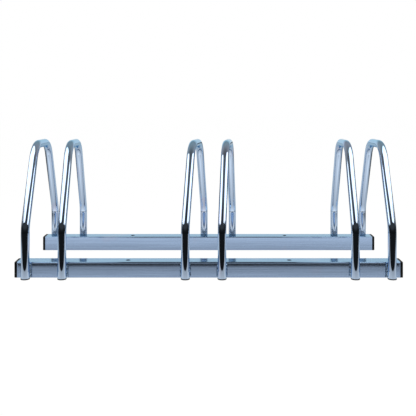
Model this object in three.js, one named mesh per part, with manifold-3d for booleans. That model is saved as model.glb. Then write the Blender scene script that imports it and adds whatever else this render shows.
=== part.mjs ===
// Floor bike rack for three wheels: two square rails on the floor, joined by six bent round-tube
// hoops in three pairs. A wheel stands in the slot between the two hoops of a pair.
// Millimetres, +Z up, +X along the rails, front towards -Y, origin on the floor under the middle.

import * as THREE from 'three';
import { mergeVertices } from 'three/addons/utils/BufferGeometryUtils.js';
import Module from 'manifold-3d';

// ---------------------------------------------------------------- driving dimensions

// Rails: square tube, front and rear
const RAIL_SIDE = 30;
const RAIL_WALL = 1.5;
const RAIL_CORNER = 2.8;
const RAIL_SPACING = 216;
const RAIL_END_MARGIN = 13.2;

// Anchor holes, drilled down through each rail
const HOLE_DIAMETER = 8;
const FRONT_HOLE_X = 153;
const REAR_HOLE_X = 168.5;

// Caps pressed into the rail ends
const CAP_FLANGE = 5;
const CAP_EDGE = 0.8;
const CAP_PLUG_DEPTH = 18;
const CAP_PLUG_WALL = 2;
const CAP_RIBS = 3;
const CAP_RIB_PITCH = 5;
const CAP_RIB_WIDTH = 1.4;
const CAP_RIB_HEIGHT = 1.2;

// Hoops: one bent tube each
const TUBE_DIAMETER = 16;
const TUBE_WALL = 1.5;
const HOOP_CORNER_HEIGHT = 245;
const HOOP_TOP_FALL = 3.5;
const HOOP_TOP_SPAN = 109;
const HOOP_TOP_RADIUS = 48;
const LEG_BEND_HEIGHT_FRONT = 95;
const LEG_BEND_HEIGHT_REAR = 88;
const LEG_BEND_RADIUS = 55;

// Bays: where the pairs of hoops stand along the rails
const BAY_PITCH = 308;
const SLOT_FRONT = 68.6;
const SLOT_REAR = 63.7;
const MIDDLE_BAY_FRONT_X = -9.4;
const MIDDLE_BAY_REAR_X = 21.4;
const OUTER_BAY_SPLAY = 7;

// Plugs in the open ends of the hoop legs
const FOOT_FLANGE = 2;
const FOOT_RIM = 0.5;
const FOOT_EDGE = 0.8;
const FOOT_STEM = 12;
const FOOT_STEM_WALL = 1.6;

// Fillet welds between each leg and the rail, one on either side of the leg
const WELD_TOE = 2.4;
const WELD_ROOT_ANGLE = 27;
const WELD_TUBE_ANGLE = 64;
const WELD_CROWN = 0.9;
const WELD_SETBACK = 2;
const WELD_RIPPLE = 0.16;
const WELD_RIPPLE_PITCH = 6.5;
const WELD_END_SIZE = 0.62;

// Clearances
const FIT_GAP = 0.3;
const LEG_GAP = 0.3;

// Facets
const TUBE_SIDES = 16;
const BORE_SIDES = 10;
const FOOT_SIDES = 12;
const HOLE_SIDES = 16;
const OUTER_CORNER_STEPS = 3;
const INNER_CORNER_STEPS = 2;
const BEND_STEP_DEGREES = 11;

// ---------------------------------------------------------------- finishes

const ZINC = { color: 0xa4b7cd, roughness: 0.2, metalness: 1 };
const ZINC_RAIL = { color: 0x93a7c0, roughness: 0.3, metalness: 1 };
const WELD = { color: 0x7f97b2, roughness: 0.42, metalness: 1 };
const BLACK_PLASTIC = { color: 0x0c0c0f, roughness: 0.55, metalness: 0 };
const GREY_PLASTIC = { color: 0x3a3b3f, roughness: 0.6, metalness: 0 };

// ---------------------------------------------------------------- worked-out sizes

const tubeRadius = TUBE_DIAMETER / 2;
const boreRadius = tubeRadius - TUBE_WALL;
const railHalf = RAIL_SIDE / 2;
const railBore = RAIL_SIDE - 2 * RAIL_WALL;
const boreCorner = Math.max(RAIL_CORNER - RAIL_WALL, FIT_GAP);
const railOffset = RAIL_SPACING / 2;
const railFaceToLeg = LEG_GAP + tubeRadius;
const legOffset = railOffset + railHalf + railFaceToLeg;

// Each hoop stands on one front foot and one rear foot, given by their places along the rails.
const bays = [
  { front: -BAY_PITCH, rear: -BAY_PITCH - OUTER_BAY_SPLAY },
  { front: MIDDLE_BAY_FRONT_X, rear: MIDDLE_BAY_REAR_X },
  { front: BAY_PITCH, rear: BAY_PITCH + OUTER_BAY_SPLAY },
];
const hoops = bays.flatMap((bay) => [-1, 1].map((side) => ({
  frontX: bay.front + side * SLOT_FRONT / 2,
  rearX: bay.rear + side * SLOT_REAR / 2,
})));
const outermostFoot = Math.max(...hoops.flatMap((hoop) => [Math.abs(hoop.frontX), Math.abs(hoop.rearX)]));
const railLength = 2 * (outermostFoot + RAIL_END_MARGIN);

// ---------------------------------------------------------------- solids

const wasm = await Module();
wasm.setup();

// A closed mesh with merged corners, as a solid that can be joined and cut.
function toSolid(geometry) {
  const bare = geometry.clone();
  bare.deleteAttribute('normal');
  bare.deleteAttribute('uv');
  const merged = mergeVertices(bare, 1e-4);
  return new wasm.Manifold(new wasm.Mesh({
    numProp: 3,
    vertProperties: new Float32Array(merged.attributes.position.array),
    triVerts: new Uint32Array(merged.index.array),
  }));
}

function toGeometry(solid) {
  const mesh = solid.getMesh();
  const geometry = new THREE.BufferGeometry();
  geometry.setAttribute('position', new THREE.BufferAttribute(mesh.vertProperties, mesh.numProp));
  geometry.setIndex(new THREE.BufferAttribute(mesh.triVerts, 1));
  geometry.computeVertexNormals();
  return geometry;
}

// A square with round corners, centred on the origin.
function roundedSquare(side, radius) {
  const half = side / 2;
  const shape = new THREE.Shape();
  shape.moveTo(half, half - radius);
  shape.absarc(half - radius, half - radius, radius, 0, Math.PI / 2);
  shape.absarc(radius - half, half - radius, radius, Math.PI / 2, Math.PI);
  shape.absarc(radius - half, radius - half, radius, Math.PI, Math.PI * 1.5);
  shape.absarc(half - radius, radius - half, radius, Math.PI * 1.5, Math.PI * 2);
  return shape;
}

// A square prism with round corners along +X, from x = start to x = start + length.
function squareBar({ side, radius, start, length, cornerSteps = INNER_CORNER_STEPS }) {
  const geometry = new THREE.ExtrudeGeometry(roundedSquare(side, radius), {
    depth: length,
    bevelEnabled: false,
    curveSegments: cornerSteps / 2,
  });
  geometry.rotateY(Math.PI / 2);
  geometry.translate(start, 0, 0);
  return toSolid(geometry);
}

// Regular polygon of points on a circle.
function ring(radius, sides) {
  return Array.from({ length: sides }, (_, i) => {
    const angle = (2 * Math.PI * i) / sides;
    return new THREE.Vector2(radius * Math.cos(angle), radius * Math.sin(angle));
  });
}

// Skin over closed rings of equal length, with both ends filled.
function loft(rings) {
  const count = rings[0].length;
  const positions = rings.flat().flatMap((point) => point.toArray());
  const indices = [];
  for (let r = 0; r < rings.length - 1; r += 1) {
    for (let i = 0; i < count; i += 1) {
      const a = r * count + i;
      const b = r * count + (i + 1) % count;
      indices.push(a, b, b + count, a, b + count, a + count);
    }
  }
  const flat = rings[0].map((point) => new THREE.Vector2(point.x, point.y));
  const last = (rings.length - 1) * count;
  for (const [a, b, c] of THREE.ShapeUtils.triangulateShape(flat, [])) {
    indices.push(c, b, a);
    indices.push(last + a, last + b, last + c);
  }
  const geometry = new THREE.BufferGeometry();
  geometry.setAttribute('position', new THREE.Float32BufferAttribute(positions, 3));
  geometry.setIndex(indices);
  geometry.computeVertexNormals();
  return geometry;
}

function makePiece(name, geometry, finish) {
  const mesh = new THREE.Mesh(geometry, new THREE.MeshStandardMaterial(finish));
  mesh.name = name;
  return mesh;
}

// ---------------------------------------------------------------- rails and their caps

// Square tube with two anchor holes through its top and bottom walls.
function railGeometry(holeX) {
  const bar = squareBar({
    side: RAIL_SIDE,
    radius: RAIL_CORNER,
    start: -railLength / 2,
    length: railLength,
    cornerSteps: OUTER_CORNER_STEPS,
  });
  const bore = squareBar({
    side: railBore,
    radius: boreCorner,
    start: -railLength / 2 - RAIL_WALL,
    length: railLength + 2 * RAIL_WALL,
  });
  let rail = bar.subtract(bore);
  for (const side of [-1, 1]) {
    const drill = new THREE.CylinderGeometry(
      HOLE_DIAMETER / 2, HOLE_DIAMETER / 2, RAIL_SIDE + 2 * RAIL_WALL, HOLE_SIDES);
    drill.rotateX(Math.PI / 2);
    drill.translate(side * holeX, 0, 0);
    rail = rail.subtract(toSolid(drill));
  }
  return toGeometry(rail);
}

// End cap: a flange as wide as the rail, and a ribbed hollow plug that fills the rail's bore.
// It points along +X, with the flange's seat at x = 0 and the plug on the -X side.
function capGeometry() {
  const ribSide = railBore - 2 * FIT_GAP;
  const plugSide = ribSide - 2 * CAP_RIB_HEIGHT;
  const flangeOutline = roundedSquare(RAIL_SIDE - 2 * CAP_EDGE, RAIL_CORNER - CAP_EDGE);

  const flangeBody = new THREE.ExtrudeGeometry(flangeOutline, {
    depth: CAP_FLANGE - CAP_EDGE,
    bevelEnabled: true,
    bevelThickness: CAP_EDGE,
    bevelSize: CAP_EDGE,
    bevelSegments: 1,
    curveSegments: OUTER_CORNER_STEPS / 2,
  });
  flangeBody.rotateY(Math.PI / 2);
  const behindSeat = new THREE.BoxGeometry(2 * CAP_EDGE, 2 * RAIL_SIDE, 2 * RAIL_SIDE);
  behindSeat.translate(-CAP_EDGE, 0, 0);
  let cap = toSolid(flangeBody).subtract(toSolid(behindSeat));

  cap = cap.add(squareBar({
    side: plugSide,
    radius: boreCorner,
    start: -CAP_PLUG_DEPTH,
    length: CAP_PLUG_DEPTH + CAP_EDGE,
  }));
  for (let i = 1; i <= CAP_RIBS; i += 1) {
    cap = cap.add(squareBar({
      side: ribSide,
      radius: boreCorner,
      start: -i * CAP_RIB_PITCH - CAP_RIB_WIDTH / 2,
      length: CAP_RIB_WIDTH,
    }));
  }
  const hollow = squareBar({
    side: plugSide - 2 * CAP_PLUG_WALL,
    radius: boreCorner,
    start: -CAP_PLUG_DEPTH - CAP_EDGE,
    length: CAP_PLUG_DEPTH + CAP_EDGE,
    cornerSteps: 1,
  });
  return toGeometry(cap.subtract(hollow));
}

// ---------------------------------------------------------------- hoops and their plugs

// The centre line of a bent tube: straights through the corner points, with a round bend at each
// corner. Its stations lie at the ends of the straights and every few degrees on the bends.
class BentTubePath extends THREE.Curve {
  constructor(corners, radii) {
    super();
    this.points = [];
    this.tangents = [];
    const first = corners[0];
    const last = corners[corners.length - 1];
    this.station(first, corners[1].clone().sub(first).normalize());
    for (let i = 1; i < corners.length - 1; i += 1) {
      this.bend(corners[i - 1], corners[i], corners[i + 1], radii[i - 1]);
    }
    this.station(last, last.clone().sub(corners[corners.length - 2]).normalize());
  }

  station(point, tangent) {
    this.points.push(point.clone());
    this.tangents.push(tangent.clone());
  }

  bend(before, corner, after, radius) {
    const into = corner.clone().sub(before).normalize();
    const out = after.clone().sub(corner).normalize();
    const turn = into.angleTo(out);
    const axis = into.clone().cross(out).normalize();
    const inward = axis.clone().cross(into);
    const start = corner.clone().addScaledVector(into, -radius * Math.tan(turn / 2));
    const centre = start.clone().addScaledVector(inward, radius);
    const steps = Math.ceil(THREE.MathUtils.radToDeg(turn) / BEND_STEP_DEGREES);
    for (let i = 0; i <= steps; i += 1) {
      const angle = (turn * i) / steps;
      const spoke = start.clone().sub(centre).applyAxisAngle(axis, angle);
      this.station(centre.clone().add(spoke), into.clone().applyAxisAngle(axis, angle));
    }
  }

  get steps() {
    return this.points.length - 1;
  }

  getPointAt(u, target = new THREE.Vector3()) {
    return target.copy(this.points[Math.round(u * this.steps)]);
  }

  getTangentAt(u, target = new THREE.Vector3()) {
    return target.copy(this.tangents[Math.round(u * this.steps)]);
  }
}

// One hoop, standing in its own YZ plane with its feet at y = -span / 2 and y = +span / 2.
function hoopGeometry(span) {
  const corners = [
    new THREE.Vector3(0, -span / 2, FOOT_FLANGE),
    new THREE.Vector3(0, -span / 2, LEG_BEND_HEIGHT_FRONT),
    new THREE.Vector3(0, -HOOP_TOP_SPAN / 2, HOOP_CORNER_HEIGHT),
    new THREE.Vector3(0, HOOP_TOP_SPAN / 2, HOOP_CORNER_HEIGHT - HOOP_TOP_FALL),
    new THREE.Vector3(0, span / 2, LEG_BEND_HEIGHT_REAR),
    new THREE.Vector3(0, span / 2, FOOT_FLANGE),
  ];
  const radii = [LEG_BEND_RADIUS, HOOP_TOP_RADIUS, HOOP_TOP_RADIUS, LEG_BEND_RADIUS];
  const path = new BentTubePath(corners, radii);
  const section = new THREE.Shape(ring(tubeRadius, TUBE_SIDES));
  section.holes.push(new THREE.Path(ring(boreRadius, BORE_SIDES)));
  return new THREE.ExtrudeGeometry(section, { steps: path.steps, extrudePath: path });
}

// Plug for a leg's open end: a thin round-edged foot, and a hollow stem up inside the bore.
function footPlugGeometry() {
  const footRadius = tubeRadius + FOOT_RIM;
  const stemRadius = boreRadius * Math.cos(Math.PI / BORE_SIDES) - FIT_GAP;
  const pocketRadius = stemRadius - FOOT_STEM_WALL;
  const stemTop = FOOT_FLANGE + FOOT_STEM;
  const profile = [
    new THREE.Vector2(0, 0),
    new THREE.Vector2(footRadius - FOOT_EDGE, 0),
    new THREE.Vector2(footRadius, FOOT_EDGE),
    new THREE.Vector2(footRadius, FOOT_FLANGE),
    new THREE.Vector2(stemRadius, FOOT_FLANGE),
    new THREE.Vector2(stemRadius, stemTop),
    new THREE.Vector2(pocketRadius, stemTop),
    new THREE.Vector2(pocketRadius, FOOT_FLANGE),
    new THREE.Vector2(0, FOOT_FLANGE),
  ];
  const geometry = new THREE.LatheGeometry(profile, FOOT_SIDES);
  geometry.rotateX(Math.PI / 2);
  return geometry;
}

// ---------------------------------------------------------------- welds

// Outline of a fillet weld on the +X side of a leg that stands at the origin, with the rail's face
// at y = railFaceToLeg. A size of 1 is the full fillet, and a smaller size draws both toes in.
function weldOutline(size) {
  const onTube = (degrees) => {
    const angle = THREE.MathUtils.degToRad(degrees);
    return new THREE.Vector2(Math.sin(angle), Math.cos(angle)).multiplyScalar(tubeRadius + FIT_GAP);
  };
  const tubeToe = onTube(WELD_ROOT_ANGLE + (WELD_TUBE_ANGLE - WELD_ROOT_ANGLE) * size);
  const root = onTube(WELD_ROOT_ANGLE);
  const rootOnRail = new THREE.Vector2(root.x, railFaceToLeg);
  const railToe = new THREE.Vector2(root.x + (tubeRadius + WELD_TOE - root.x) * size, railFaceToLeg);
  const across = railToe.clone().sub(tubeToe);
  const outward = new THREE.Vector2(across.y, -across.x).normalize();
  const crown = tubeToe.clone().add(railToe).multiplyScalar(0.5).addScaledVector(outward, WELD_CROWN * size);
  const middle = onTube((WELD_ROOT_ANGLE + WELD_TUBE_ANGLE * size) / 2);
  return [railToe, rootOnRail, root, middle, tubeToe, crown];
}

// A weld run up the leg: full in the middle, drawn in at its ends, with even ripples.
function weldGeometry() {
  const low = WELD_SETBACK;
  const high = RAIL_SIDE - RAIL_CORNER - WELD_SETBACK / 2;
  const steps = 2 * Math.round((high - low) / WELD_RIPPLE_PITCH);
  const rings = [];
  for (let i = 0; i <= steps; i += 1) {
    const atEnd = i === 0 || i === steps;
    const ripple = i % 2 === 1 ? WELD_RIPPLE / 2 : -WELD_RIPPLE / 2;
    const size = atEnd ? WELD_END_SIZE : 1 + ripple;
    const z = low + ((high - low) * i) / steps;
    rings.push(weldOutline(size).map((point) => new THREE.Vector3(point.x, point.y, z)));
  }
  return loft(rings);
}

// ---------------------------------------------------------------- assembly

const rack = new THREE.Group();

for (const { end, facing, holeX } of [
  { end: 'front', facing: -1, holeX: FRONT_HOLE_X },
  { end: 'rear', facing: 1, holeX: REAR_HOLE_X },
]) {
  const rail = makePiece(`${end}_rail`, railGeometry(holeX), ZINC_RAIL);
  rail.position.set(0, facing * railOffset, railHalf);
  rack.add(rail);
  for (const { hand, direction } of [{ hand: 'left', direction: -1 }, { hand: 'right', direction: 1 }]) {
    const cap = makePiece(`${end}_rail_cap_${hand}`, capGeometry(), BLACK_PLASTIC);
    cap.position.set((direction * railLength) / 2, facing * railOffset, railHalf);
    cap.rotation.z = direction > 0 ? 0 : Math.PI;
    rack.add(cap);
  }
}

hoops.forEach(({ frontX, rearX }, index) => {
  const number = index + 1;
  const span = Math.hypot(2 * legOffset, rearX - frontX);
  const hoop = makePiece(`hoop_${number}`, hoopGeometry(span), ZINC);
  hoop.position.set((frontX + rearX) / 2, 0, 0);
  hoop.rotation.z = -Math.atan2(rearX - frontX, 2 * legOffset);
  rack.add(hoop);

  for (const { end, facing, x } of [
    { end: 'front', facing: -1, x: frontX },
    { end: 'rear', facing: 1, x: rearX },
  ]) {
    const foot = new THREE.Group();
    foot.position.set(x, facing * legOffset, 0);
    foot.add(makePiece(`${end}_foot_plug_${number}`, footPlugGeometry(), GREY_PLASTIC));
    // A front leg has the rail behind it; a rear leg's welds are the same ones turned half round.
    const welds = new THREE.Group();
    welds.rotation.z = facing < 0 ? 0 : Math.PI;
    for (const { hand, mirrored } of [
      { hand: facing < 0 ? 'right' : 'left', mirrored: false },
      { hand: facing < 0 ? 'left' : 'right', mirrored: true },
    ]) {
      const geometry = weldGeometry();
      if (mirrored) {
        geometry.scale(-1, 1, 1);
        geometry.index.array.reverse();
        geometry.computeVertexNormals();
      }
      welds.add(makePiece(`${end}_weld_${number}_${hand}`, geometry, WELD));
    }
    foot.add(welds);
    rack.add(foot);
  }
});

export default rack;
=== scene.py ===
"""Floor bike rack for three wheels, in bright zinc plating, modelled and lit.

Metres, +Z up, +X along the rails, the front towards -Y, the floor at z = 0.
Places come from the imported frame. Sizes that the frame doesn't give are fields of each class.
"""

import logging
import math
from collections.abc import Callable, Iterator
from contextlib import contextmanager
from dataclasses import dataclass, field
from enum import Enum

import bmesh
import bpy
from mathutils import Matrix, Vector


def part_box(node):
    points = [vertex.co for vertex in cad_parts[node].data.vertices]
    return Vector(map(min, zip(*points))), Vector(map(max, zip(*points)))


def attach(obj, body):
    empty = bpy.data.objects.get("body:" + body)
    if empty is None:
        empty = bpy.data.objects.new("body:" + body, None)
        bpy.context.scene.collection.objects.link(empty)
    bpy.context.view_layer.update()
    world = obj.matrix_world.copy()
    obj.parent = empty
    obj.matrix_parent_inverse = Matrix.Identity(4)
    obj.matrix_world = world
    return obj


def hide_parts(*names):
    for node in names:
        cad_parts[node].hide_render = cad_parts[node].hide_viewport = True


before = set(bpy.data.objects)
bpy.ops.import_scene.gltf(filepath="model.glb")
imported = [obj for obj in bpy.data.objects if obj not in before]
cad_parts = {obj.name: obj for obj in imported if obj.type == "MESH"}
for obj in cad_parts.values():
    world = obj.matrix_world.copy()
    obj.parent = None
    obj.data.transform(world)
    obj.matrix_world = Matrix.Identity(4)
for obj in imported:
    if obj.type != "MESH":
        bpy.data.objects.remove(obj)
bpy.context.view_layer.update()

LOG = logging.getLogger("bike_rack")
MM = 0.001
ACROSS = Vector((1, 0, 0))
UPWARD = Vector((0, 0, 1))
Colour = tuple[float, float, float]
Triple = tuple[float, float, float]

# How much of a unit vector lies along an axis that it follows, faces exactly, or crosses.
ALONG = 0.9
SQUARE = 0.999
CROSSING = 0.1

# Points closer than this are one point, and a step smaller than this counts as none.
MERGE_GAP = 0.002 * MM
HAIR = 0.01 * MM

# The span that noise mostly keeps to, and a Mix node's sockets for colours.
NOISE_SPAN = (0.2, 0.8)
MIX_FIRST = 6
MIX_SECOND = 7
MIX_RESULT = 2


# ------------------------------------------------------------------ named options


class Element(Enum):
    """What an edit-mode selection is made of."""

    POINT = "VERT"
    EDGE = "EDGE"
    FACE = "FACE"


class End(Enum):
    """Which rail a piece belongs to, and the way that its outer face looks along Y."""

    FRONT = -1
    REAR = 1

    @property
    def word(self) -> str:
        """The end's name, as the nodes have it."""
        return self.name.lower()


class Hand(Enum):
    """A side of the rack or of a leg, and its direction along X."""

    LEFT = -1
    RIGHT = 1

    @property
    def word(self) -> str:
        """The side's name, as the nodes have it."""
        return self.name.lower()


class Slot(Enum):
    """The record's material slots."""

    TUBE = "zinc_tube"
    RAIL = "zinc_rail"
    WELD = "weld_zinc"
    BLACK = "black_plastic"
    GREY = "grey_plastic"


# ------------------------------------------------------------------ frame


def node_centre(node: str) -> Vector:
    """The middle of a node's box."""
    low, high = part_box(node)
    return (low + high) / 2


def node_size(node: str) -> Vector:
    """The lengths of a node's box along X, Y and Z."""
    low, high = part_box(node)
    return high - low


# ------------------------------------------------------------------ modelling


class Workpiece:
    """One new mesh, shaped with Blender's own modelling operators."""

    def __init__(self, name: str, primitive: Callable[..., object], **sizes: object) -> None:
        """Adds a primitive and settles it at the origin.

        Args:
            name: The piece's name.
            primitive: The operator that adds the primitive.
            **sizes: The operator's own settings.
        """
        bpy.ops.object.select_all(action="DESELECT")
        primitive(**sizes)
        self.body = bpy.context.active_object
        self.body.name = name
        self.body.data.name = name
        self.settle()

    def activate(self) -> None:
        """Makes this piece the only selected object."""
        bpy.ops.object.select_all(action="DESELECT")
        self.body.select_set(True)
        bpy.context.view_layer.objects.active = self.body

    def settle(self) -> None:
        """Moves the object's place, turn and scale into its mesh."""
        self.activate()
        bpy.ops.object.transform_apply(location=True, rotation=True, scale=True)

    @contextmanager
    def editing(self, element: Element) -> Iterator[None]:
        """Edit mode for the time of a with block.

        Args:
            element: What a selection is made of.
        """
        self.activate()
        bpy.ops.object.mode_set(mode="EDIT")
        bpy.ops.mesh.select_mode(type=element.value)
        yield
        bpy.ops.object.mode_set(mode="OBJECT")

    def pick_faces(self, test: Callable[[Vector, Vector], bool]) -> None:
        """Selects the faces that pass a test, in edit mode.

        Args:
            test: Takes a face's middle and its normal.
        """
        mesh = bmesh.from_edit_mesh(self.body.data)
        for face in mesh.faces:
            face.select_set(False)
        for face in mesh.faces:
            if test(face.calc_center_median(), face.normal):
                face.select_set(True)
        bmesh.update_edit_mesh(self.body.data)

    def pick_edges(self, test: Callable[[Vector, Vector], bool]) -> None:
        """Selects the edges that pass a test, in edit mode.

        Args:
            test: Takes an edge's middle and its direction.
        """
        mesh = bmesh.from_edit_mesh(self.body.data)
        chosen = []
        for edge in mesh.edges:
            edge.select_set(False)
            start, end = (corner.co for corner in edge.verts)
            if test((start + end) / 2, (end - start).normalized()):
                chosen.append(edge)
        for edge in chosen:
            edge.select_set(True)
        bmesh.update_edit_mesh(self.body.data)

    def modify(self, kind: str, **settings: object) -> None:
        """Adds a modifier and applies it.

        Args:
            kind: The modifier's type.
            **settings: The modifier's own settings.
        """
        self.activate()
        modifier = self.body.modifiers.new(kind.title(), kind)
        for setting, value in settings.items():
            setattr(modifier, setting, value)
        bpy.ops.object.modifier_apply(modifier=modifier.name)

    def face_outwards(self) -> None:
        """Merges double points and turns every normal outwards."""
        with self.editing(Element.POINT):
            bpy.ops.mesh.select_all(action="SELECT")
            bpy.ops.mesh.remove_doubles(threshold=MERGE_GAP)
            bpy.ops.mesh.normals_make_consistent(inside=False)

    def place(self, matrix: Matrix) -> None:
        """Moves the mesh itself, and keeps its faces pointing out.

        Args:
            matrix: The move, turn and mirroring to apply.
        """
        self.body.data.transform(matrix)
        if matrix.determinant() < 0:
            self.face_outwards()

    def copy(self, name: str) -> "Workpiece":
        """A copy with its own mesh.

        Args:
            name: The copy's name.

        Returns:
            The copy.
        """
        twin = Workpiece.__new__(Workpiece)
        twin.body = self.body.copy()
        twin.body.data = self.body.data.copy()
        twin.body.name = name
        twin.body.data.name = name
        bpy.context.scene.collection.objects.link(twin.body)
        return twin

    def discard(self) -> None:
        """Takes a pattern piece away once its copies are made."""
        bpy.data.objects.remove(self.body)

    def finish(self, material: bpy.types.Material, slot: Slot, node: str, crease: float) -> None:
        """Dresses the piece and puts it in a node's place.

        Args:
            material: The piece's finish.
            slot: The record's material slot; not used.
            node: The node that the piece stands for.
            crease: Edges sharper than this angle stay sharp, in degrees.
        """
        self.activate()
        bpy.ops.object.shade_smooth_by_angle(angle=math.radians(crease))
        self.body.data.materials.clear()
        self.body.data.materials.append(material)
        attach(self.body, "root")
        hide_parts(node)
        LOG.info("%s: %d faces", self.body.name, len(self.body.data.polygons))


# ------------------------------------------------------------------ finishes


@dataclass(frozen=True)
class Step:
    """A smooth step of a value: where it begins and ends, and the results on both sides."""

    low: float
    high: float
    start: float = 0.0
    end: float = 1.0


class NodeBoard:
    """A node tree that is wired up node by node."""

    def __init__(self, tree: bpy.types.NodeTree) -> None:
        """Takes the tree to build in."""
        self.tree = tree

    def add(self, kind: str, settings: dict[str, object] | None = None,
            inputs: dict[str | int, object] | None = None) -> bpy.types.Node:
        """Adds a node.

        Args:
            kind: The node's type.
            settings: Its properties.
            inputs: Its sockets' values, each a number, a tuple or another node's output.

        Returns:
            The node.
        """
        node = self.tree.nodes.new(kind)
        for setting, value in (settings or {}).items():
            setattr(node, setting, value)
        for socket, value in (inputs or {}).items():
            self.feed(node.inputs[socket], value)
        return node

    def feed(self, socket: bpy.types.NodeSocket, value: object) -> None:
        """Links a socket to an output, or sets its value.

        Args:
            socket: The socket to feed.
            value: Another node's output, a number, a colour or a place.
        """
        if isinstance(value, bpy.types.NodeSocket):
            self.tree.links.new(value, socket)
        elif isinstance(value, tuple) and socket.type == "RGBA":
            socket.default_value = (*value, 1)
        else:
            socket.default_value = value

    def math(self, operation: str, *values: object) -> bpy.types.NodeSocket:
        """The result of a sum on numbers or outputs."""
        node = self.add("ShaderNodeMath", {"operation": operation}, dict(enumerate(values)))
        return node.outputs[0]

    def ease(self, value: object, step: Step) -> bpy.types.NodeSocket:
        """A smooth step of a value.

        Args:
            value: What is measured.
            step: Where the step lies, and what it gives.

        Returns:
            The stepped value.
        """
        node = self.add("ShaderNodeMapRange", {"interpolation_type": "SMOOTHSTEP"}, {
            "Value": value, "From Min": step.low, "From Max": step.high,
            "To Min": step.start, "To Max": step.end})
        return node.outputs["Result"]

    def mix(self, share: object, first: object, second: object,
            how: str = "MIX") -> bpy.types.NodeSocket:
        """A mix of two colours.

        Args:
            share: How far the second colour counts.
            first: The first colour.
            second: The second colour.
            how: The way of mixing.

        Returns:
            The mixed colour.
        """
        node = self.add("ShaderNodeMix", {"data_type": "RGBA", "blend_type": how}, {
            "Factor": share, MIX_FIRST: first, MIX_SECOND: second})
        return node.outputs[MIX_RESULT]

    def noise(self, place: object, scale: float, detail: float = 2.0) -> bpy.types.NodeSocket:
        """Noise from 0 to 1 over a place.

        Args:
            place: Where the noise is read.
            scale: How fine it is.
            detail: How much finer noise is laid over it.

        Returns:
            The noise.
        """
        node = self.add("ShaderNodeTexNoise", inputs={
            "Vector": place, "Scale": scale, "Detail": detail})
        return node.outputs["Fac"]

    def spread(self, noise: object, middle: float,
               shares: tuple[float, float]) -> bpy.types.NodeSocket:
        """A number that noise moves round its middle.

        Args:
            noise: The noise.
            middle: The number's middle.
            shares: The least and the most, as shares of the middle.

        Returns:
            The moved number.
        """
        least, most = shares
        return self.ease(noise, Step(*NOISE_SPAN, middle * least, middle * most))

    def stretch(self, place: object, scale: Triple) -> bpy.types.NodeSocket:
        """A place scaled along each axis.

        Args:
            place: The place.
            scale: Its scale along X, Y and Z.

        Returns:
            The scaled place.
        """
        node = self.add("ShaderNodeMapping", {"vector_type": "POINT"}, {
            "Vector": place, "Scale": scale})
        return node.outputs["Vector"]

    def split(self, place: object) -> bpy.types.NodeOutputs:
        """A place's X, Y and Z, each by its letter."""
        return self.add("ShaderNodeSeparateXYZ", inputs={"Vector": place}).outputs


class SurfaceBoard(NodeBoard):
    """The nodes of one material."""

    def __init__(self, name: str) -> None:
        """Makes the material that the nodes dress.

        Args:
            name: The material's name.
        """
        self.material = bpy.data.materials.new(name)
        self.material.use_nodes = True
        super().__init__(self.material.node_tree)
        self.surface = self.tree.nodes["Principled BSDF"]

    def set(self, socket: str, value: object) -> None:
        """Feeds one of the surface's own sockets."""
        self.feed(self.surface.inputs[socket], value)

    def object_place(self) -> bpy.types.NodeSocket:
        """Object coordinates."""
        return self.add("ShaderNodeTexCoord").outputs["Object"]

    def facing_up(self) -> bpy.types.NodeSocket:
        """How far a surface faces up: 1 on top, -1 underneath."""
        return self.split(self.add("ShaderNodeTexCoord").outputs["Normal"])["Z"]

    def attribute(self, name: str, output: str) -> bpy.types.NodeSocket:
        """What the mesh's own attribute says."""
        return self.add("ShaderNodeAttribute", {"attribute_name": name}).outputs[output]

    def bump(self, height: bpy.types.NodeSocket, depth: float) -> None:
        """Raises the surface.

        Args:
            height: The relief, from 0 to 1.
            depth: Its full depth in metres.
        """
        node = self.add("ShaderNodeBump", inputs={
            "Strength": 1.0, "Distance": depth, "Height": height})
        self.set("Normal", node.outputs["Normal"])


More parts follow.
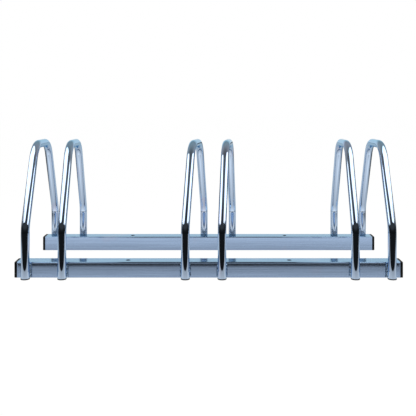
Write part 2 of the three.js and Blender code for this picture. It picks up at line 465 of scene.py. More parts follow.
@dataclass(frozen=True)
class Plating:
    """Bright zinc plating with a blue passivated film, whose tint drifts a little.

    The film is blue with patches of lilac, and teal where it faces up, which is a painted sheen.
    Drawn lines darken it, and a painted shade darkens them more underneath. A mesh can mark
    points for painted dark: painted shade in the rail's bore and holes, and a dark line in each
    hoop's lower bends. A painted pale patch, less metallic, lies low on the rear legs.
    """

    name: str
    blue: Colour
    painted_top_teal: Colour
    lilac: Colour
    roughness: float
    rough_spread: tuple[float, float] = (0.8, 1.25)
    rim: Colour = (1.0, 1.0, 1.0)
    metal: float = 1.0
    streak_place: str = ""
    streaks: Triple = (1.0, 1.0, 1.0)
    streak_detail: float = 3.0
    streak_share: float = 0.12
    streak_step: Step = Step(0.62, 0.42)
    drip_share: float = 0.0
    under_step: Step = Step(-0.1, -0.45)
    painted_top_step: Step = Step(0.35, 0.95)
    tint_scale: float = 14.0
    lilac_step: Step = Step(0.6, 0.7, 0.0, 0.6)
    dull_share: float = 0.0
    dull_from: float = 0.6
    dull_full: float = 0.9
    bloom_share: float = 0.0
    bloom_step: Step = Step(46.0 * MM, 38.0 * MM)
    wave_scale: float = 60.0
    wave_detail: float = 1.0
    wave_depth: float = 0.0

    def material(self) -> bpy.types.Material:
        """The plating as a material.

        Returns:
            The material.
        """
        board = SurfaceBoard(self.name)
        place = board.object_place()
        along = board.attribute(self.streak_place, "Vector") if self.streak_place else place
        lines = board.noise(board.stretch(along, self.streaks), 1.0, self.streak_detail)
        shade = self.shade(board, lines)
        grey = board.add("ShaderNodeCombineColor", inputs={
            "Red": shade, "Green": shade, "Blue": shade}).outputs["Color"]
        board.set("Base Color", board.mix(1.0, self.film(board, place), grey, "MULTIPLY"))
        board.set("Metallic", self.metal_share(board, place))
        board.set("Specular Tint", self.rim)
        board.set("Roughness", board.spread(lines, self.roughness, self.rough_spread))
        if self.wave_depth:
            waves = board.noise(place, self.wave_scale, self.wave_detail)
            relief = board.math("ADD", waves, board.math("MULTIPLY", lines, self.streak_share))
            board.bump(relief, self.wave_depth)
        return board.material

    def film(self, board: SurfaceBoard, place: object) -> bpy.types.NodeSocket:
        """The film's tint, with a painted teal sheen where it faces up.

        Args:
            board: The material's nodes.
            place: Object coordinates.

        Returns:
            The tint.
        """
        # Painted sheen: surfaces that face up turn teal.
        tint = board.mix(board.ease(board.facing_up(), self.painted_top_step), self.blue, self.painted_top_teal)
        drift = board.noise(place, self.tint_scale)
        return board.mix(board.ease(drift, self.lilac_step), tint, self.lilac)

    def shade(self, board: SurfaceBoard, lines: object) -> bpy.types.NodeSocket:
        """The share of light that the drawn lines, the painted shade underneath and the painted
        dark marks leave.

        Args:
            board: The material's nodes.
            lines: The noise that draws the lines.

        Returns:
            The share.
        """
        # Painted shade: the lines darken more on surfaces that face down.
        under = board.ease(board.facing_up(), self.under_step)
        share = board.math("MULTIPLY_ADD", under, self.drip_share, self.streak_share)
        lost = board.math("MULTIPLY", share, board.ease(lines, self.streak_step))
        kept = board.math("SUBTRACT", 1.0, lost)
        # Painted dark: marked points lose light, as painted shade in the rail's bore and holes and
        # as a painted dark line in each hoop's lower bends.
        if not self.dull_share:
            return kept
        painted_dark = board.ease(board.attribute("painted_dark", "Fac"),
                          Step(self.dull_from, self.dull_full, 1.0, 1.0 - self.dull_share))
        return board.math("MULTIPLY", kept, painted_dark)

    def metal_share(self, board: SurfaceBoard, place: object) -> object:
        """How metallic the plating is: less low on the rear legs, as painted light that makes them
        paler there.

        Args:
            board: The material's nodes.
            place: Object coordinates.

        Returns:
            The share, as a number or an output.
        """
        if not self.bloom_share:
            return self.metal
        # Painted light: low on the rear legs the plating is less metallic, so it looks paler where
        # it mirrors the dark rail top.
        split = board.split(place)
        behind = board.math("GREATER_THAN", split["Y"], 0.0)
        painted_pale = board.math("MULTIPLY", board.ease(split["Z"], self.bloom_step), behind)
        return board.math("MULTIPLY_ADD", painted_pale, -self.bloom_share, self.metal)


@dataclass(frozen=True)
class MouldedPlastic:
    """Moulded plastic with a fine grain and slightly worn high spots."""

    name: str
    colour: Colour
    worn: Colour
    roughness: float
    rough_spread: tuple[float, float] = (0.85, 1.15)
    gloss: float = 0.5
    grain_scale: float = 1800.0
    grain_detail: float = 3.0
    grain_depth: float = 0.03 * MM
    wear_scale: float = 160.0
    wear_detail: float = 4.0
    wear_step: Step = Step(0.5, 0.75, 0.0, 0.5)

    def material(self) -> bpy.types.Material:
        """The plastic as a material.

        Returns:
            The material.
        """
        board = SurfaceBoard(self.name)
        place = board.object_place()
        grain = board.noise(place, self.grain_scale, self.grain_detail)
        wear = board.ease(board.noise(place, self.wear_scale, self.wear_detail), self.wear_step)
        board.set("Base Color", board.mix(wear, self.colour, self.worn))
        board.set("Specular IOR Level", self.gloss)
        board.set("Roughness", board.spread(grain, self.roughness, self.rough_spread))
        board.bump(grain, self.grain_depth)
        return board.material


@dataclass(frozen=True)
class Finishes:
    """Every finish of the rack."""

    tube: Plating = Plating(
        "bright_zinc_tube", blue=(0.64, 0.79, 1.0), painted_top_teal=(0.48, 0.72, 0.92),
        lilac=(0.66, 0.68, 0.88), roughness=0.045, rim=(0.6, 0.8, 0.92),
        streak_place="tube_place", streaks=(5.0, 5.0, 2.0), streak_share=0.12, drip_share=0.1,
        dull_share=0.5, bloom_share=0.62, wave_scale=45.0, wave_depth=0.01 * MM)
    rail: Plating = Plating(
        "satin_zinc_rail", blue=(0.41, 0.55, 0.78), painted_top_teal=(0.29, 0.5, 0.74),
        lilac=(0.44, 0.54, 0.75), roughness=0.1, rim=(0.8, 0.95, 1.0), metal=0.88,
        streaks=(7.0, 700.0, 700.0), streak_share=0.12, dull_share=0.9, wave_scale=30.0,
        wave_depth=0.01 * MM)
    weld: Plating = Plating(
        "zinc_weld", blue=(0.42, 0.58, 0.78), painted_top_teal=(0.42, 0.6, 0.76),
        lilac=(0.5, 0.56, 0.74), roughness=0.16, streaks=(300.0, 300.0, 300.0),
        streak_share=0.65, tint_scale=90.0, wave_scale=420.0, wave_depth=0.5 * MM)
    black: MouldedPlastic = MouldedPlastic(
        "black_plastic", colour=(0.004, 0.004, 0.005), worn=(0.012, 0.012, 0.014),
        roughness=0.45, gloss=0.2)
    grey: MouldedPlastic = MouldedPlastic(
        "grey_plastic", colour=(0.05, 0.05, 0.053), worn=(0.09, 0.09, 0.095), roughness=0.45)


# ------------------------------------------------------------------ rails


@dataclass
class Rail:
    """A square tube on the floor, with two anchor holes down through it."""

    end: End
    hole_x: float
    wall: float = 1.5 * MM
    corner: float = 2.0 * MM
    corner_steps: int = 8
    flank: float = 2.6 * MM
    hollow: float = 0.2 * MM
    hole_radius: float = 4.0 * MM
    hole_sides: int = 48
    burr: float = 0.35 * MM
    burr_steps: int = 2
    burr_crease: float = 40.0
    bore_share: float = 0.8
    face_weight: int = 100
    crease: float = 35.0

    @property
    def node(self) -> str:
        """The node that the rail stands for."""
        return f"{self.end.word}_rail"

    def build(self, material: bpy.types.Material) -> None:
        """Models and dresses the rail.

        Args:
            material: The rail's finish.
        """
        rail = Workpiece(f"{self.node}_tube", bpy.ops.mesh.primitive_cube_add, size=1,
                         location=node_centre(self.node), scale=node_size(self.node))
        self.round_corners(rail)
        self.hollow_faces(rail)
        rail.modify("SOLIDIFY", thickness=self.wall, offset=-1)
        for hand in Hand:
            self.drill(rail, hand)
        rail.face_outwards()
        rail.modify("BEVEL", width=self.burr, segments=self.burr_steps, limit_method="ANGLE",
                    angle_limit=math.radians(self.burr_crease))
        self.mark_inside(rail)
        rail.finish(material, Slot.RAIL, self.node, self.crease)
        rail.modify("WEIGHTED_NORMAL", keep_sharp=True, weight=self.face_weight)

    def round_corners(self, rail: Workpiece) -> None:
        """Rounds the four long edges and opens both ends.

        Args:
            rail: The rail so far, a plain bar.
        """
        with rail.editing(Element.EDGE):
            rail.pick_edges(lambda _, way: abs(way.x) > ALONG)
            bpy.ops.mesh.bevel(offset=self.corner, segments=self.corner_steps, affect="EDGES")
        with rail.editing(Element.FACE):
            rail.pick_faces(lambda _, normal: abs(normal.x) > ALONG)
            bpy.ops.mesh.delete(type="FACE")

    def hollow_faces(self, rail: Workpiece) -> None:
        """Sinks the four flat faces a little beside their corners, as rolling leaves them.

        Args:
            rail: The rail so far, with rounded corners.
        """
        with rail.editing(Element.FACE):
            rail.pick_faces(lambda _, normal: max(abs(normal.y), abs(normal.z)) > SQUARE)
            bpy.ops.mesh.inset(thickness=self.flank, depth=-self.hollow, use_individual=True)

    def mark_inside(self, rail: Workpiece) -> None:
        """Marks the bore and the drilled holes for painted shade, which darkens these recesses.

        Args:
            rail: The finished shape.
        """
        centre = node_centre(self.node)
        half = node_size(self.node) / 2
        mesh = rail.body.data
        marks = mesh.attributes.new("painted_dark", "FLOAT", "POINT")
        for point in mesh.vertices:
            off = point.co - centre
            depth = min(half.y - abs(off.y), half.z - abs(off.z))
            from_hole = math.hypot(abs(off.x) - self.hole_x, off.y)
            in_hole = from_hole < self.hole_radius + self.burr / 2
            drilled = in_hole and depth > self.hollow + self.burr / 8
            in_bore = depth > self.wall * self.bore_share
            marks.data[point.index].value = float(drilled or in_bore)

    def drill(self, rail: Workpiece, hand: Hand) -> None:
        """Drills one anchor hole down through both walls.

        Args:
            rail: The rail.
            hand: The side that the hole is on.
        """
        centre = node_centre(self.node)
        centre.x = hand.value * self.hole_x
        depth = 2 * node_size(self.node).z
        drill = Workpiece("drill", bpy.ops.mesh.primitive_cylinder_add, vertices=self.hole_sides,
                          radius=self.hole_radius, depth=depth, location=centre)
        rail.modify("BOOLEAN", object=drill.body, operation="DIFFERENCE", solver="EXACT")
        drill.discard()


@dataclass
class RailCap:
    """A black cap with a ribbed hollow plug, pressed into a rail's end."""

    flange: float = 5.0 * MM
    side: float = 30.0 * MM
    corner: float = 2.2 * MM
    corner_steps: int = 6
    edge: float = 0.9 * MM
    edge_steps: int = 4
    plug_side: float = 24.0 * MM
    rib_side: float = 26.4 * MM
    rib_pitch: float = 5.0 * MM
    rib_width: float = 1.4 * MM
    ribs: int = 3
    tail: float = 2.3 * MM
    plug_wall: float = 2.0 * MM
    hollow: float = 17.0 * MM
    crease: float = 40.0

    def pattern(self) -> Workpiece:
        """The cap along the X axis, with its flange's seat at x = 0 and its plug towards -X.

        Returns:
            The pattern piece.
        """
        cap = Workpiece("cap_pattern", bpy.ops.mesh.primitive_cube_add, size=1,
                        location=(self.flange / 2, 0, 0), scale=(self.flange, self.side, self.side))
        with cap.editing(Element.EDGE):
            cap.pick_edges(lambda _, way: abs(way.x) > ALONG)
            bpy.ops.mesh.bevel(offset=self.corner, segments=self.corner_steps, affect="EDGES")
            rim = self.flange - HAIR
            cap.pick_edges(lambda middle, way: abs(way.x) < CROSSING and middle.x > rim)
            bpy.ops.mesh.bevel(offset=self.edge, segments=self.edge_steps, affect="EDGES")
        with cap.editing(Element.FACE):
            cap.pick_faces(lambda middle, normal: normal.x < -ALONG and middle.x < self.edge)
            self.widen(self.plug_side / self.side)
            for _ in range(self.ribs):
                self.push(self.rib_pitch - self.rib_width)
                self.widen(self.rib_side / self.plug_side)
                self.push(self.rib_width)
                self.widen(self.plug_side / self.rib_side)
            self.push(self.tail)
            self.widen(1 - 2 * self.plug_wall / self.plug_side)
            self.push(-self.hollow)
        cap.face_outwards()
        return cap

    @staticmethod
    def push(depth: float) -> None:
        """Draws the picked face out along -X."""
        bpy.ops.mesh.extrude_region_move(TRANSFORM_OT_translate={"value": (-depth, 0, 0)})

    @staticmethod
    def widen(share: float) -> None:
        """Steps the picked face in or out, square to the axis."""
        bpy.ops.mesh.extrude_region_move(TRANSFORM_OT_translate={"value": (0, 0, 0)})
        bpy.ops.transform.resize(value=(1, share, share))

    def build(self, material: bpy.types.Material) -> None:
        """Models one cap and presses a copy of it into each rail end.

        Args:
            material: The caps' finish.
        """
        pattern = self.pattern()
        for end in End:
            rail_low, rail_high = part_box(f"{end.word}_rail")
            middle = (rail_low + rail_high) / 2
            for hand in Hand:
                node = f"{end.word}_rail_cap_{hand.word}"
                cap = pattern.copy(f"{node}_moulded")
                seat = rail_high.x if hand is Hand.RIGHT else rail_low.x
                turn = Matrix.Rotation(0 if hand is Hand.RIGHT else math.pi, 4, "Z")
                cap.place(Matrix.Translation((seat, middle.y, middle.z)) @ turn)
                cap.finish(material, Slot.BLACK, node, self.crease)
        pattern.discard()


# ------------------------------------------------------------------ hoops


@dataclass(frozen=True)
class Straight:
    """A straight run of tube."""

    run: Vector


@dataclass(frozen=True)
class Bend:
    """A bend of tube about an axis along X."""

    centre: Vector
    turn: float
    radius: float


@dataclass
class Hoop:
    """One length of round tube with four bends, standing on a front and a rear foot."""

    radius: float = 8.0 * MM
    wall: float = 1.5 * MM
    corner_height: float = 245.0 * MM
    top_fall: float = 3.5 * MM
    top_span: float = 109.0 * MM
    top_radius: float = 48.0 * MM
    front_bend_height: float = 95.0 * MM
    rear_bend_height: float = 88.0 * MM
    leg_radius: float = 55.0 * MM
    plug_flange: float = 2.0 * MM
    sides: int = 56
    bend_step: float = 3.0
    press_ring: int = 3
    crease: float = 40.0

    def corners(self, span: float) -> list[Vector]:
        """Where the straight runs of the centre line would meet, in the hoop's own plane.

        Args:
            span: The distance between the feet.

        Returns:
            Six corners from the front foot to the rear foot.
        """
        return [
            Vector((0, -span / 2, self.plug_flange)),
            Vector((0, -span / 2, self.front_bend_height)),
            Vector((0, -self.top_span / 2, self.corner_height)),
            Vector((0, self.top_span / 2, self.corner_height - self.top_fall)),
            Vector((0, span / 2, self.rear_bend_height)),
            Vector((0, span / 2, self.plug_flange)),
        ]

    def route(self, span: float) -> list[Straight | Bend]:
        """The runs and bends of the centre line, in order.

        Args:
            span: The distance between the feet.

        Returns:
            The runs and bends.
        """
        corners = self.corners(span)
        radii = (self.leg_radius, self.top_radius, self.top_radius, self.leg_radius)
        steps: list[Straight | Bend] = []
        place = corners[0]
        for before, corner, after, radius in zip(corners, corners[1:], corners[2:], radii):
            into = (corner - before).normalized()
            out = (after - corner).normalized()
            turn = into.angle(out) * math.copysign(1, into.cross(out).x)
            start = corner - into * radius * math.tan(abs(turn) / 2)
            inward = ACROSS.cross(into) * math.copysign(1, turn)
            steps.append(Straight(start - place))
            steps.append(Bend(start + inward * radius, turn, radius))
            place = corner + out * radius * math.tan(abs(turn) / 2)
        steps.append(Straight(corners[-1] - place))
        return steps

    def bend_tube(self, name: str, span: float) -> Workpiece:
        """Draws a ring along the route and gives the tube its wall.

        Args:
            name: The piece's name.
            span: The distance between the feet.

        Returns:
            The tube in its own plane.
        """
        tube = Workpiece(name, bpy.ops.mesh.primitive_circle_add, vertices=self.sides,
                         radius=self.radius, location=self.corners(span)[0])
        stations = [0.0]
        with tube.editing(Element.EDGE):
            bpy.ops.mesh.select_all(action="SELECT")
            for step in self.route(span):
                stations += self.draw(step, stations[-1])
        self.mark_places(tube, stations)
        tube.face_outwards()
        tube.modify("SOLIDIFY", thickness=self.wall, offset=-1)
        return tube

    def draw(self, step: Straight | Bend, so_far: float) -> list[float]:
        """Draws the picked ring along one run or bend.

        Args:
            step: The run or bend.
            so_far: The length of the centre line up to here.

        Returns:
            The length of the centre line at each new ring.
        """
        if isinstance(step, Straight):
            bpy.ops.mesh.extrude_region_move(TRANSFORM_OT_translate={"value": step.run})
            return [so_far + step.run.length]
        count = math.ceil(math.degrees(abs(step.turn)) / self.bend_step)
        bpy.ops.mesh.spin(steps=count, angle=-step.turn, center=step.centre, axis=ACROSS,
                          use_auto_merge=False)
        length = abs(step.turn) * step.radius
        return [so_far + length * (i + 1) / count for i in range(count)]

    def mark_places(self, tube: Workpiece, stations: list[float]) -> None:
        """Writes each point's place on the tube, and the rings that get a painted dark line.

        Args:
            tube: The drawn tube, ring by ring.
            stations: The length of the centre line at each ring.
        """
        mesh = tube.body.data
        mesh.attributes.new("tube_place", "FLOAT_VECTOR", "POINT")
        mesh.attributes.new("painted_dark", "FLOAT", "POINT")
        places = mesh.attributes["tube_place"]
        marks = mesh.attributes["painted_dark"]
        # Painted reflection: one ring in each lower bend is marked for a dark line that stands for
        # a mirrored dark edge.
        pressed = (self.press_ring, len(stations) - 1 - self.press_ring)
        for ring, station in enumerate(stations):
            first = ring * self.sides
            points = [mesh.vertices[first + i].co for i in range(self.sides)]
            middle = sum(points, Vector()) / self.sides
            for i, point in enumerate(points):
                spoke = (point - middle) / self.radius
                across = math.copysign(math.sqrt(max(0.0, 1 - spoke.x ** 2)), spoke.y + spoke.z)
                places.data[first + i].vector = (spoke.x, across, station)
                marks.data[first + i].value = float(ring in pressed)

    def build(self, number: int, material: bpy.types.Material) -> None:
        """Models one hoop between its two feet.

        Args:
            number: The hoop's number, from the left.
            material: The hoop's finish.
        """
        front = node_centre(f"front_foot_plug_{number}")
        rear = node_centre(f"rear_foot_plug_{number}")
        step = rear - front
        hoop = self.bend_tube(f"hoop_{number}_tube", math.hypot(step.x, step.y))
        middle = (front + rear) / 2
        middle.z = 0
        turn = Matrix.Rotation(-math.atan2(step.x, step.y), 4, "Z")
        hoop.place(Matrix.Translation(middle) @ turn)
        hoop.finish(material, Slot.TUBE, f"hoop_{number}", self.crease)


@dataclass
class FootPlug:
    """A plug in a leg's open end: a thin round-edged foot and a hollow stem."""

    radius: float = 8.5 * MM
    flange: float = 2.0 * MM
    edge: float = 0.5 * MM
    edge_steps: int = 4
    stem_radius: float = 5.8 * MM
    stem: float = 12.0 * MM
    stem_wall: float = 1.6 * MM
    sides: int = 40
    crease: float = 40.0

    def pattern(self) -> Workpiece:
        """The plug standing on the origin.

        Returns:
            The pattern piece.
        """
        plug = Workpiece("plug_pattern", bpy.ops.mesh.primitive_cylinder_add, vertices=self.sides,
                         radius=self.radius, depth=self.flange, location=(0, 0, self.flange / 2))
        with plug.editing(Element.EDGE):
            plug.pick_edges(lambda middle, way: abs(way.z) < CROSSING and middle.z < HAIR)
            bpy.ops.mesh.bevel(offset=self.edge, segments=self.edge_steps, affect="EDGES")
        with plug.editing(Element.FACE):
            plug.pick_faces(lambda _, normal: normal.z > ALONG)
            bpy.ops.mesh.inset(thickness=self.radius - self.stem_radius)
            bpy.ops.mesh.extrude_region_move(TRANSFORM_OT_translate={"value": UPWARD * self.stem})
            bpy.ops.mesh.inset(thickness=self.stem_wall)
            bpy.ops.mesh.extrude_region_move(TRANSFORM_OT_translate={"value": -UPWARD * self.stem})
        plug.face_outwards()
        return plug

    def build(self, hoops: int, material: bpy.types.Material) -> None:
        """Models one plug and sets a copy of it under each leg.

        Args:
            hoops: How many hoops there are.
            material: The plugs' finish.
        """
        pattern = self.pattern()
        for end in End:
            for number in range(1, hoops + 1):
                node = f"{end.word}_foot_plug_{number}"
                plug = pattern.copy(f"{node}_moulded")
                foot = node_centre(node)
                plug.place(Matrix.Translation((foot.x, foot.y, 0)))
                plug.finish(material, Slot.GREY, node, self.crease)
        pattern.discard()


# ------------------------------------------------------------------ welds


@dataclass
class Weld:
    """A rippled bead in the corner between a leg and the rail's outer face."""

    low: float = 1.6 * MM
    high: float = 26.8 * MM
    centre: tuple[float, float] = (8.0 * MM, 6.4 * MM)
    long_radius: float = 3.1 * MM
    short_radius: float = 1.9 * MM
    lean: float = 56.0
    pitch: float = 2.1 * MM
    swell: float = 0.11
    end_size: float = 0.5
    end_growth: float = 0.25
    sides: int = 14
    smoothing: int = 2
    lump_size: float = 2.6 * MM
    lump_depth: float = 1.3 * MM
    crease: float = 60.0

    def pattern(self) -> Workpiece:
        """The bead on the +X side of a front leg that stands at the origin.

        Returns:
            The pattern piece.
        """
        start = (*self.centre, self.low)
        bead = Workpiece("bead_pattern", bpy.ops.mesh.primitive_circle_add, vertices=self.sides,
                         radius=self.long_radius, location=start)
        waves = round((self.high - self.low) / self.pitch)
        rise = (self.high - self.low) / (2 * waves)
        with bead.editing(Element.EDGE):
            bpy.ops.mesh.select_all(action="SELECT")
            bpy.ops.transform.resize(value=(1, self.short_radius / self.long_radius, 1),
                                     center_override=start)
            bpy.ops.transform.rotate(value=-math.radians(self.lean), orient_axis="Z",
                                     center_override=start)
            bpy.ops.mesh.edge_face_add()
            size = 1.0
            for i in range(2 * waves):
                bpy.ops.mesh.extrude_region_move(TRANSFORM_OT_translate={"value": UPWARD * rise})
                size = self.scale_ring(size, self.ring_size(i + 1, 2 * waves))
            bpy.ops.mesh.edge_face_add()
            bead.pick_faces(lambda middle, normal: abs(normal.z) > ALONG
                            and middle.z < self.low + HAIR)
            self.scale_ring(1.0, self.ring_size(0, 2 * waves))
        bead.face_outwards()
        bead.modify("SUBSURF", levels=self.smoothing, render_levels=self.smoothing)
        return bead

    def ring_size(self, ring: int, last: int) -> float:
        """How large a ring is: drawn in at both ends, and rippled between.

        Args:
            ring: The ring's number, from the bottom.
            last: The last ring's number.

        Returns:
            The ring's size, as a share of the full one.
        """
        from_end = min(ring, last - ring)
        taper = min(1.0, self.end_size + self.end_growth * from_end)
        return taper * (1 + self.swell * (1 if ring % 2 else -1))

    def scale_ring(self, before: float, after: float) -> float:
        """Scales the picked ring about the bead's middle.

        Args:
            before: The ring's size.
            after: The size that it gets.

        Returns:
            The new size.
        """
        share = after / before
        ring = bmesh.from_edit_mesh(bpy.context.active_object.data)
        height = max((point.co.z for point in ring.verts if point.select), default=0.0)
        bpy.ops.transform.resize(value=(share, share, 1), center_override=(*self.centre, height))
        return after

    def build(self, hoops: int, material: bpy.types.Material) -> None:
        """Models one bead and lays a copy of it on both sides of each leg.

        Args:
            hoops: How many hoops there are.
            material: The beads' finish.
        """
        lumps = bpy.data.textures.new("weld_lumps", "CLOUDS")
        lumps.noise_scale = self.lump_size
        pattern = self.pattern()
        for end in End:
            for number in range(1, hoops + 1):
                foot = node_centre(f"{end.word}_foot_plug_{number}")
                for hand in Hand:
                    node = f"{end.word}_weld_{number}_{hand.word}"
                    bead = pattern.copy(f"{node}_bead")
                    mirror = Matrix.Diagonal((hand.value, -end.value, 1, 1))
                    bead.place(Matrix.Translation((foot.x, foot.y, 0)) @ mirror)
                    bead.modify("DISPLACE", texture=lumps, texture_coords="GLOBAL",
                                strength=self.lump_depth, mid_level=0.5)
                    bead.finish(material, Slot.WELD, node, self.crease)
        pattern.discard()


# ------------------------------------------------------------------ studio


@dataclass
class Studio:
    """The floor, the lamps, the room that the plating mirrors, and the camera.

    Two large lamps hang over the sides of the rack, with an upright panel under each one's outer
    edge. The plating mirrors a white sheet on the floor under the rack, with painted lamp light on
    it and a painted shadow behind the front rail, dark floor beyond it, a white wall behind, a grey
    ceiling and a dark front.
    """

    camera_place: Triple = (0.0, -1.373, 0.351)
    focal_length: float = 57.61
    sensor: float = 36.0
    image_side: float = 416.0
    centre_px: float = 208.7
    horizon_px: float = 91.0

    lamp_height: float = 0.486
    lamp_gap: float = 0.227
    lamp_far_x: float = 0.986
    lamp_back_far_x: float = 0.745
    lamp_step_y: float = -0.267
    lamp_front_y: float = -0.657
    lamp_back_y: float = 0.086
    lamp_radiance: float = 1.7
    front_cut_y: float = -0.357
    front_cut_slope: float = 0.935
    back_cut_y: float = -0.135
    back_cut_slope: float = 1.325
    lamp_edge: float = 0.03

    panel_x: float = 0.76
    panel_low: float = 0.26
    panel_front_y: float = -0.2
    panel_radiance: float = 1.8

    floor_side: float = 16.0
    floor_white: float = 0.86
    floor_glow: float = 1.04
    floor_dark: float = 0.01
    shadow_share: float = 0.05
    sheet_white: float = 0.94
    sheet_front: Step = Step(-0.213, -0.197)
    sheet_sides: Step = Step(0.5, 0.75, 1.0, 0.12)
    sheet_near: Step = Step(-0.21, -0.05, 0.47, 1.0)
    sheet_rear: Step = Step(-0.05, 0.1, 1.0, 0.66)
    shade_near: Step = Step(-0.093, -0.123)
    shade_rear: Step = Step(-0.093, -0.04, 0.3, 1.0)

    back_white: float = 0.86
    back_reach: Step = Step(0.69, 1.0)
    back_height: Step = Step(0.95, 0.19)
    ceiling: Step = Step(-0.5, 0.6, 0.12, 0.36)
    horizon: Step = Step(0.0, 0.16, 0.3, 1.0)
    front: Step = Step(0.05, 0.3, 0.01, 0.045)
    front_slope: float = 1.235
    front_end: Step = Step(0.084, 0.184)
    least_level: float = 0.001

    def build(self) -> None:
        """Builds the whole studio."""
        bpy.context.scene.view_settings.view_transform = "Standard"
        self.floor()
        for hand in Hand:
            self.lamp(hand)
            self.panel(hand)
        self.room()
        self.camera()

    def camera(self) -> None:
        """A level camera in front of the rack, shifted down as a view camera is."""
        bpy.ops.object.camera_add(location=self.camera_place, rotation=(math.pi / 2, 0, 0))
        camera = bpy.context.active_object
        camera.data.lens = self.focal_length
        camera.data.sensor_width = self.sensor
        camera.data.shift_x = (self.image_side / 2 - self.centre_px) / self.image_side
        camera.data.shift_y = (self.horizon_px - self.image_side / 2) / self.image_side
        bpy.context.scene.camera = camera

    def flat_lamp(self, name: str, low: Vector, high: Vector, radiance: float,
                  turn: float = 0.0) -> bpy.types.AreaLight:
        """Adds a flat lamp that the camera doesn't see.

        Args:
            name: The lamp's name.
            low: Its lowest corner.
            high: The corner across from it.
            radiance: How bright its face looks.
            turn: Its turn about Y. Without one it faces down.

        Returns:
            The lamp's data.
        """
        bpy.ops.object.light_add(type="AREA", location=(low + high) / 2, rotation=(0, turn, 0))
        lamp = bpy.context.active_object
        lamp.name = name
        lamp.visible_camera = False
        span = high - low
        lamp.data.shape = "RECTANGLE"
        lamp.data.size = span.z if turn else span.x
        lamp.data.size_y = span.y
        lamp.data.energy = radiance * math.pi * lamp.data.size * lamp.data.size_y
        return lamp.data

    def lamp(self, hand: Hand) -> None:
        """A large soft lamp over one side of the rack, with both inner corners cut off.

        Args:
            hand: The side.
        """
        left, right = sorted((hand.value * self.lamp_gap, hand.value * self.lamp_far_x))
        lamp = self.flat_lamp(f"soft_lamp_{hand.word}",
                              Vector((left, self.lamp_front_y, self.lamp_height)),
                              Vector((right, self.lamp_back_y, self.lamp_height)),
                              self.lamp_radiance)
        lamp.use_nodes = True
        self.lamp_outline(NodeBoard(lamp.node_tree))

    def lamp_outline(self, board: NodeBoard) -> None:
        """Darkens a lamp outside its outline.

        Args:
            board: The lamp's own nodes.
        """
        place = board.split(board.add("ShaderNodeNewGeometry").outputs["Position"])
        across = board.math("ABSOLUTE", place["X"])
        ahead = board.math("MULTIPLY", board.math("SUBTRACT", self.front_cut_y, place["Y"]),
                           self.front_cut_slope)
        behind = board.math("MULTIPLY", board.math("SUBTRACT", place["Y"], self.back_cut_y),
                            self.back_cut_slope)
        cut = board.math("MAXIMUM", board.math("MAXIMUM", ahead, behind), 0.0)
        inner = board.math("ADD", cut, self.lamp_gap)
        outer = board.ease(place["Y"], Step(
            self.lamp_step_y - self.lamp_edge, self.lamp_step_y + self.lamp_edge,
            self.lamp_far_x, self.lamp_back_far_x))
        edge = Step(-self.lamp_edge, self.lamp_edge)
        lit = board.math("MULTIPLY", board.ease(board.math("SUBTRACT", across, inner), edge),
                         board.ease(board.math("SUBTRACT", outer, across), edge))
        board.feed(board.tree.nodes["Emission"].inputs["Strength"], lit)

    def panel(self, hand: Hand) -> None:
        """An upright lamp at one side of the rack, under the large lamp's outer edge.

        Args:
            hand: The side.
        """
        across = hand.value * self.panel_x
        self.flat_lamp(f"side_panel_{hand.word}",
                       Vector((across, self.panel_front_y, self.panel_low)),
                       Vector((across, self.lamp_back_y, self.lamp_height)),
                       self.panel_radiance, hand.value * math.pi / 2)

    def floor(self) -> None:
        """A pale floor that shows white, keeps a faint shadow, and looks darker in the plating."""
        bpy.ops.mesh.primitive_plane_add(size=self.floor_side)
        floor = bpy.context.active_object
        floor.name = "floor"
        board = SurfaceBoard("pale_floor")
        ray = board.add("ShaderNodeLightPath").outputs
        glow = board.mix(ray["Is Glossy Ray"], (self.floor_glow,) * 3, self.mirrored_floor(board))
        share = board.math("MAXIMUM", ray["Is Glossy Ray"], board.math(
            "MULTIPLY", ray["Is Camera Ray"], 1.0 - self.shadow_share))
        matt = board.add("ShaderNodeBsdfDiffuse", inputs={"Color": (self.floor_white,) * 3})
        white = board.add("ShaderNodeEmission", inputs={"Color": glow})
        shader = board.add("ShaderNodeMixShader", inputs={
            0: share, 1: matt.outputs["BSDF"], 2: white.outputs["Emission"]})
        output = board.tree.nodes["Material Output"]
        board.feed(output.inputs["Surface"], shader.outputs["Shader"])
        board.tree.nodes.remove(board.surface)
        floor.data.materials.append(board.material)

    def mirrored_floor(self, board: SurfaceBoard) -> bpy.types.NodeSocket:
        """The floor as the plating mirrors it: a white sheet with painted lamp light and a painted
        shadow behind the front rail, then dark.

        Args:
            board: The floor's nodes.

        Returns:
            The floor's colour in the plating.
        """
        place = board.split(board.object_place())
        level = board.ease(board.math("ABSOLUTE", place["X"]), self.sheet_sides)
        # Painted light: the sheet is brightest in its middle and darker towards the front and the
        # back.
        for step in (self.sheet_front, self.sheet_near, self.sheet_rear):
            level = board.math("MULTIPLY", level, board.ease(place["Y"], step))
        # Painted shadow: a darker strip at and just behind the front rail.
        shade = board.math("MAXIMUM", board.ease(place["Y"], self.shade_near),
                           board.ease(place["Y"], self.shade_rear))
        level = board.math("MULTIPLY", level, shade)
        return board.mix(level, (self.floor_dark,) * 3, (self.sheet_white,) * 3)

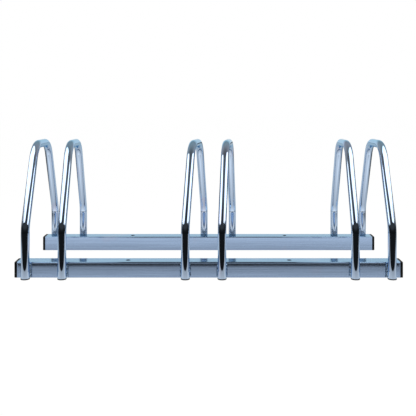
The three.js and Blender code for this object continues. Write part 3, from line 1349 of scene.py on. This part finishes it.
    def room(self) -> None:
        """The room round the rack: white for the camera, and for the plating as room_light says."""
        world = bpy.data.worlds.new("studio_room")
        world.use_nodes = True
        bpy.context.scene.world = world
        board = NodeBoard(world.node_tree)
        camera_ray = board.add("ShaderNodeLightPath").outputs["Is Camera Ray"]
        shown = board.tree.nodes["Background"]
        board.feed(shown.inputs["Color"], (1.0, 1.0, 1.0))
        board.feed(shown.inputs["Strength"], board.math(
            "MAXIMUM", self.room_light(board), camera_ray))

    def room_light(self, board: NodeBoard) -> bpy.types.NodeSocket:
        """How bright the room is: a white wall behind, a grey ceiling and a dark front.

        Args:
            board: The world's nodes.

        Returns:
            The brightness in the direction that is looked in.
        """
        way = board.split(board.add("ShaderNodeTexCoord").outputs["Generated"])
        level = board.math("SQRT", board.math("SUBTRACT", 1.0, board.math("POWER", way["Z"], 2.0)))
        back = board.math("DIVIDE", way["Y"], board.math("MAXIMUM", level, self.least_level))
        wall = board.math("MULTIPLY", board.ease(back, self.back_reach),
                          board.ease(way["Z"], self.back_height))
        ceiling = board.math("MULTIPLY", board.ease(way["Z"], self.horizon),
                             board.ease(way["Y"], self.ceiling))
        inside = board.math("MAXIMUM", board.math("MULTIPLY", wall, self.back_white), ceiling)
        ahead = board.math("MULTIPLY_ADD", way["Z"], self.front_slope, way["Y"])
        return board.math("MAXIMUM", board.ease(way["Z"], self.front),
                          board.math("MULTIPLY", inside, board.ease(ahead, self.front_end)))


# ------------------------------------------------------------------ rack


@dataclass
class BikeRack:
    """The whole rack: two rails with their caps, and six hoops with their plugs and welds."""

    finishes: Finishes = field(default_factory=Finishes)
    front_hole_x: float = 153.0 * MM
    rear_hole_x: float = 168.5 * MM
    hoops: int = 6

    def build(self) -> None:
        """Models and dresses every piece."""
        rail_zinc = self.finishes.rail.material()
        Rail(End.FRONT, self.front_hole_x).build(rail_zinc)
        Rail(End.REAR, self.rear_hole_x).build(rail_zinc)
        RailCap().build(self.finishes.black.material())
        tube_zinc = self.finishes.tube.material()
        for number in range(1, self.hoops + 1):
            Hoop().build(number, tube_zinc)
        FootPlug().build(self.hoops, self.finishes.grey.material())
        Weld().build(self.hoops, self.finishes.weld.material())


def main() -> None:
    """Builds the studio and the rack."""
    logging.basicConfig(level=logging.INFO, format="%(message)s")
    Studio().build()
    BikeRack().build()


if __name__ == "__main__":
    main()
